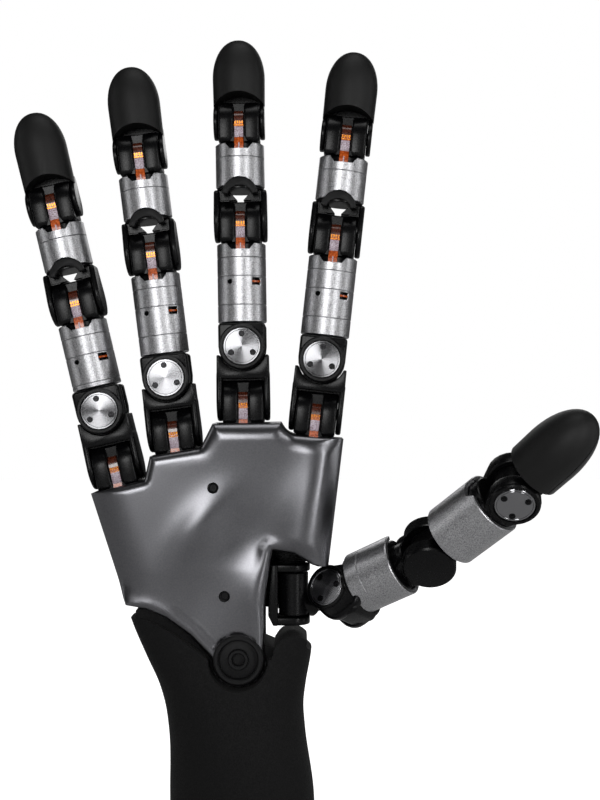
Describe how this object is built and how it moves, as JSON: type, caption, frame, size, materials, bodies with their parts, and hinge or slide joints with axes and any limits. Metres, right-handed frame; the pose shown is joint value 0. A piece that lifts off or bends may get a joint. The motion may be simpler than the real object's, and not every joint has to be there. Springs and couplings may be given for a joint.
{
  "type": "prosthetic hand",
  "caption": "Powered right hand with jointed fingers and thumb, metal palm plate and a round wrist cuff for a forearm socket.",
  "frame": {"origin": "centre of the cuff's flat end face, where it is fastened to the forearm socket", "axes": "+Z from the cuff to the fingertips, -Y out of the palm, +X towards the thumb"},
  "size_m": [0.1874, 0.0788, 0.2785],
  "materials": {
    "black_anodised": "black anodised, semi-gloss",
    "brushed_aluminium": "drawn and blasted, fine hatching",
    "turned_aluminium": "face turned, radial sheen",
    "palm_metal": "satin dark grey",
    "soft_pad": "matt black moulded pad",
    "cuff_shell": "matt black moulded"
  },
  "bodies": {
    "cuff": {"wrist_cuff": "cuff_shell"},
    "palm": {"palm_plate": "palm_metal", "palm_back_cover": "black_anodised", "palm_frame": "black_anodised", "wrist_pivot": "black_anodised", "thumb_bracket": "black_anodised", "little_knuckle_base": "black_anodised", "ring_knuckle_base": "black_anodised", "middle_knuckle_base": "black_anodised", "index_knuckle_base": "black_anodised"},
    "little_knuckle": {"little_knuckle_link": "black_anodised"},
    "little_proximal": {"little_proximal_yoke": "black_anodised", "little_knuckle_cap": "turned_aluminium", "little_proximal_tube": "brushed_aluminium", "little_middle_block": "black_anodised"},
    "little_middle": {"little_middle_fork": "black_anodised", "little_middle_tube": "brushed_aluminium", "little_end_block": "black_anodised"},
    "little_tip": {"little_tip_pad": "soft_pad", "little_tip_shell": "black_anodised"},
    "ring_knuckle": {"ring_knuckle_link": "black_anodised"},
    "ring_proximal": {"ring_proximal_yoke": "black_anodised", "ring_knuckle_cap": "turned_aluminium", "ring_proximal_tube": "brushed_aluminium", "ring_middle_block": "black_anodised"},
    "ring_middle": {"ring_middle_fork": "black_anodised", "ring_middle_tube": "brushed_aluminium", "ring_end_block": "black_anodised"},
    "ring_tip": {"ring_tip_pad": "soft_pad", "ring_tip_shell": "black_anodised"},
    "middle_knuckle": {"middle_knuckle_link": "black_anodised"},
    "middle_proximal": {"middle_proximal_yoke": "black_anodised", "middle_knuckle_cap": "turned_aluminium", "middle_proximal_tube": "brushed_aluminium", "middle_middle_block": "black_anodised"},
    "middle_middle": {"middle_middle_fork": "black_anodised", "middle_middle_tube": "brushed_aluminium", "middle_end_block": "black_anodised"},
    "middle_tip": {"middle_tip_pad": "soft_pad", "middle_tip_shell": "black_anodised"},
    "index_knuckle": {"index_knuckle_link": "black_anodised"},
    "index_proximal": {"index_proximal_yoke": "black_anodised", "index_knuckle_cap": "turned_aluminium", "index_proximal_tube": "brushed_aluminium", "index_middle_block": "black_anodised"},
    "index_middle": {"index_middle_fork": "black_anodised", "index_middle_tube": "brushed_aluminium", "index_end_block": "black_anodised"},
    "index_tip": {"index_tip_pad": "soft_pad", "index_tip_shell": "black_anodised"},
    "thumb_base": {"thumb_base": "black_anodised"},
    "thumb_metacarpal": {"thumb_elbow": "black_anodised", "thumb_base_cap": "turned_aluminium", "thumb_metacarpal_tube": "brushed_aluminium", "thumb_knuckle_housing": "black_anodised"},
    "thumb_proximal": {"thumb_proximal_link": "black_anodised", "thumb_proximal_tube": "brushed_aluminium"},
    "thumb_tip": {"thumb_tip_cap": "turned_aluminium", "thumb_tip_pad": "soft_pad", "thumb_tip_shell": "black_anodised"}
  },
  "joints": [
    {"name": "wrist_sideways", "type": "hinge", "parent": "cuff", "child": "palm", "pos_m": [0, 0, 0.0707], "axis": [0, -1, 0], "range_deg": [-4, 5]},
    {"name": "little_bend", "type": "hinge", "parent": "palm", "child": "little_knuckle", "pos_m": [-0.0422, 0, 0.1346], "axis": [0.9728, 0, 0.2317], "range_deg": [0, 80]},
    {"name": "little_spread", "type": "hinge", "parent": "little_knuckle", "child": "little_proximal", "pos_m": [-0.04653, 0, 0.15279], "axis": [0, -1, 0], "range_deg": [-5, 5]},
    {"name": "little_middle_bend", "type": "hinge", "parent": "little_proximal", "child": "little_middle", "pos_m": [-0.05536, 0, 0.18985], "axis": [0.9728, 0, 0.2317], "range_deg": [0, 92]},
    {"name": "little_end_bend", "type": "hinge", "parent": "little_middle", "child": "little_tip", "pos_m": [-0.06315, 0, 0.22254], "axis": [0.9728, 0, 0.2317], "range_deg": [0, 64]},
    {"name": "ring_bend", "type": "hinge", "parent": "palm", "child": "ring_knuckle", "pos_m": [-0.0223, 0, 0.1464], "axis": [0.9923, 0, 0.1236], "range_deg": [0, 80]},
    {"name": "ring_spread", "type": "hinge", "parent": "ring_knuckle", "child": "ring_proximal", "pos_m": [-0.02448, 0, 0.16387], "axis": [0, -1, 0], "range_deg": [-5, 5]},
    {"name": "ring_middle_bend", "type": "hinge", "parent": "ring_proximal", "child": "ring_middle", "pos_m": [-0.02975, 0, 0.20624], "axis": [0.9923, 0, 0.1236], "range_deg": [0, 92]},
    {"name": "ring_end_bend", "type": "hinge", "parent": "ring_middle", "child": "ring_tip", "pos_m": [-0.03391, 0, 0.23958], "axis": [0.9923, 0, 0.1236], "range_deg": [0, 64]},
    {"name": "middle_bend", "type": "hinge", "parent": "palm", "child": "middle_knuckle", "pos_m": [0.0013, 0, 0.1562], "axis": [0.9999, 0, 0.0157], "range_deg": [0, 80]},
    {"name": "middle_spread", "type": "hinge", "parent": "middle_knuckle", "child": "middle_proximal", "pos_m": [0.00101, 0, 0.1744], "axis": [0, 1, 0], "range_deg": [-3, 3]},
    {"name": "middle_middle_bend", "type": "hinge", "parent": "middle_proximal", "child": "middle_middle", "pos_m": [0.00035, 0, 0.21669], "axis": [0.9999, 0, 0.0157], "range_deg": [0, 92]},
    {"name": "middle_end_bend", "type": "hinge", "parent": "middle_middle", "child": "middle_tip", "pos_m": [-0.00018, 0, 0.25029], "axis": [0.9999, 0, 0.0157], "range_deg": [0, 64]},
    {"name": "index_bend", "type": "hinge", "parent": "palm", "child": "index_knuckle", "pos_m": [0.026, 0, 0.1522], "axis": [0.9935, -0.0349, -0.1079], "range_deg": [0, 80]},
    {"name": "index_spread", "type": "hinge", "parent": "index_knuckle", "child": "index_proximal", "pos_m": [0.02793, 0, 0.17], "axis": [0.0347, 0.9994, -0.0038], "range_deg": [-5, 5]},
    {"name": "index_middle_bend", "type": "hinge", "parent": "index_proximal", "child": "index_middle", "pos_m": [0.03251, 0, 0.21215], "axis": [0.9935, -0.0349, -0.1079], "range_deg": [0, 92]},
    {"name": "index_end_bend", "type": "hinge", "parent": "index_middle", "child": "index_tip", "pos_m": [0.03614, 0, 0.24555], "axis": [0.9935, -0.0349, -0.1079], "range_deg": [0, 64]},
    {"name": "thumb_swing", "type": "hinge", "parent": "palm", "child": "thumb_base", "pos_m": [0.0182, 0, 0.092], "axis": [0, 0, 1], "range_deg": [-60, 20]},
    {"name": "thumb_lift", "type": "hinge", "parent": "thumb_base", "child": "thumb_metacarpal", "pos_m": [0.0335, -0.001, 0.091], "axis": [0.5746, 0.727, -0.3759], "range_deg": [-20, 15]},
    {"name": "thumb_bend", "type": "hinge", "parent": "thumb_metacarpal", "child": "thumb_proximal", "pos_m": [0.0628, -0.01602, 0.10675], "axis": [-0.0979, -0.8049, -0.5853], "range_deg": [-5, 50]},
    {"name": "thumb_end_bend", "type": "hinge", "parent": "thumb_proximal", "child": "thumb_tip", "pos_m": [0.08706, -0.03517, 0.12903], "axis": [-0.0979, -0.8049, -0.5853], "range_deg": [-5, 50]}
  ],
  "couplings": [
    {"joint": "little_middle_bend", "follows": "little_bend", "ratio": 1.15},
    {"joint": "little_end_bend", "follows": "little_bend", "ratio": 0.8},
    {"joint": "ring_middle_bend", "follows": "ring_bend", "ratio": 1.15},
    {"joint": "ring_end_bend", "follows": "ring_bend", "ratio": 0.8},
    {"joint": "middle_middle_bend", "follows": "middle_bend", "ratio": 1.15},
    {"joint": "middle_end_bend", "follows": "middle_bend", "ratio": 0.8},
    {"joint": "index_middle_bend", "follows": "index_bend", "ratio": 1.15},
    {"joint": "index_end_bend", "follows": "index_bend", "ratio": 0.8},
    {"joint": "thumb_end_bend", "follows": "thumb_bend", "ratio": 1}
  ]
}
